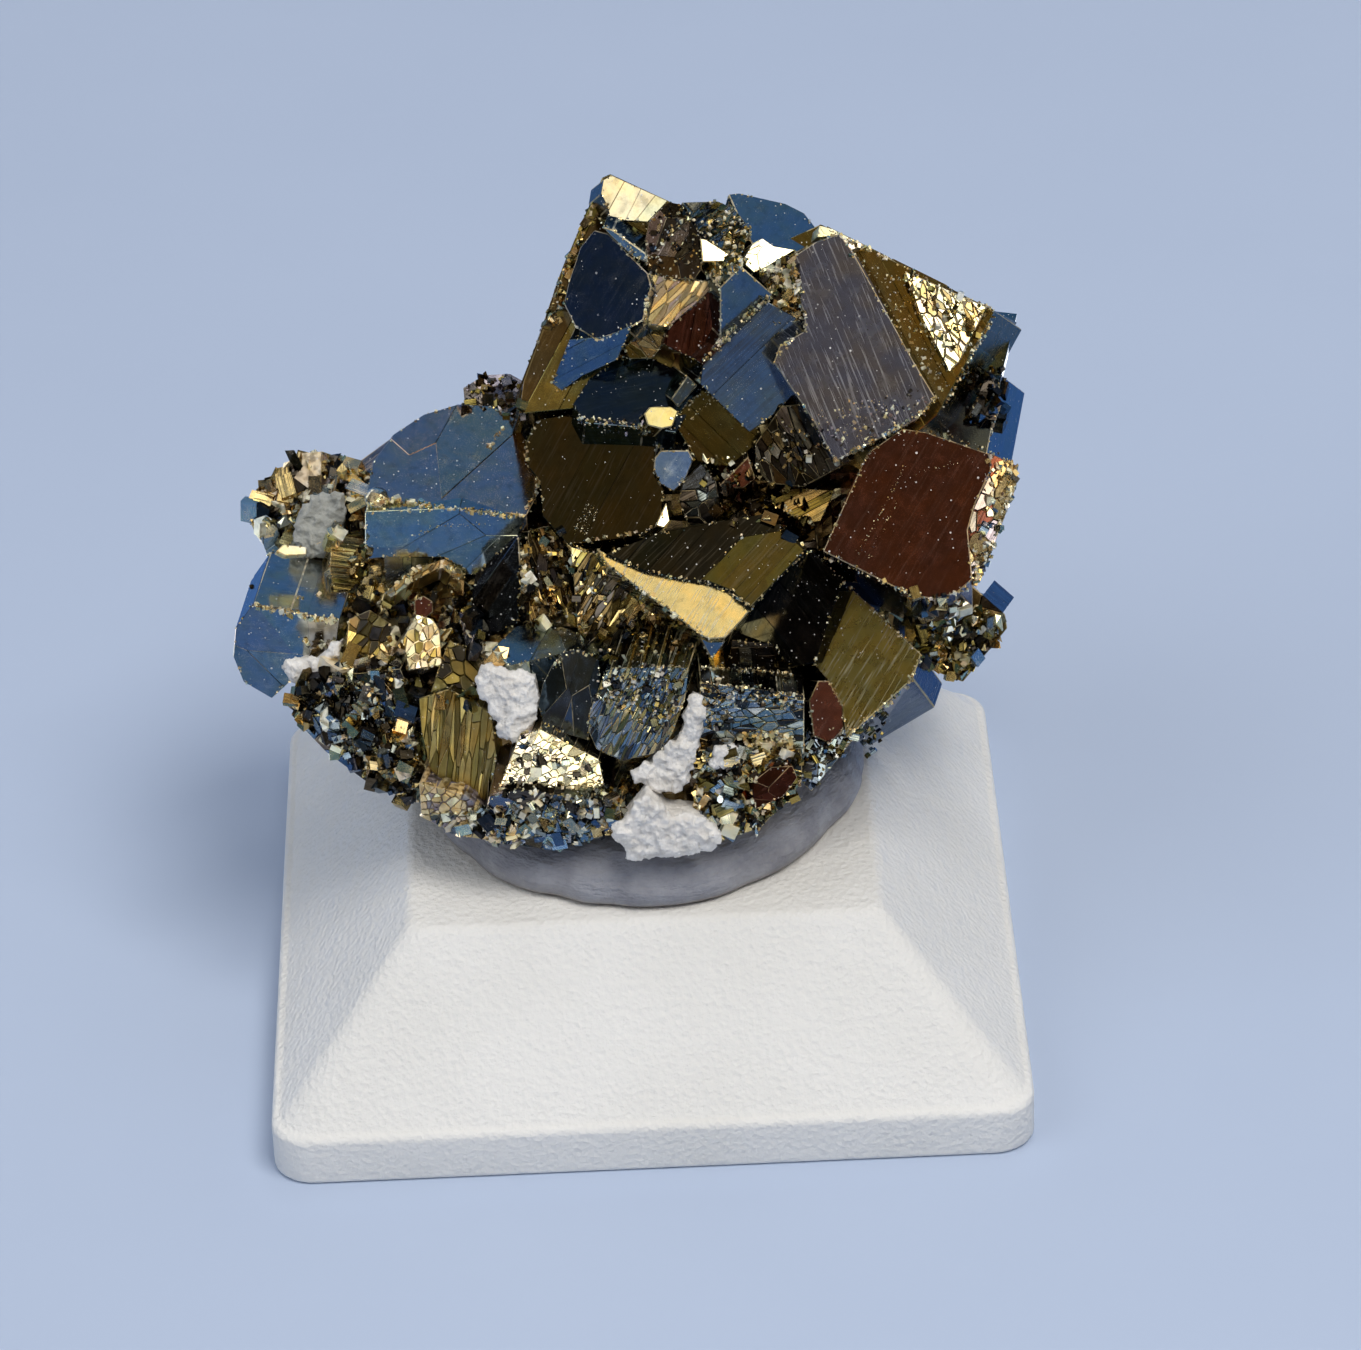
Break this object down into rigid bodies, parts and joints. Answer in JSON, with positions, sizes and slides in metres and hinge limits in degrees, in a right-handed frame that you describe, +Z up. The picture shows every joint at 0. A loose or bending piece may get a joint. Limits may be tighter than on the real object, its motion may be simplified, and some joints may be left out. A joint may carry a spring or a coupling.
{
  "type": "pyrite specimen on stand",
  "caption": "Cluster of intergrown pyrite cubes with white quartz between them, bedded in grey putty on a white square stand with sloping sides.",
  "frame": {"origin": "middle of the stand's flat underside", "axes": "+Z up, -Y towards the viewer that the crystals are shown to, +X to that viewer's right; the stand's sides are parallel to X and Y"},
  "size_m": [0.0346, 0.0325, 0.0351],
  "materials": {
    "stand_plastic": "cream white plastic, finely pebbled",
    "putty": "grey mineral putty, dull and softly creased",
    "pyrite": "brassy metallic crystal faces, from mirror-smooth to finely grooved",
    "quartz": "white sugary quartz, slightly translucent"
  },
  "bodies": {
    "root": {"stand": "stand_plastic", "putty": "putty", "pyrite": "pyrite", "quartz_front": "quartz", "quartz_seam": "quartz", "quartz_middle": "quartz", "quartz_left": "quartz", "quartz_back_left": "quartz", "quartz_patch": "quartz"}
  },
  "joints": []
}
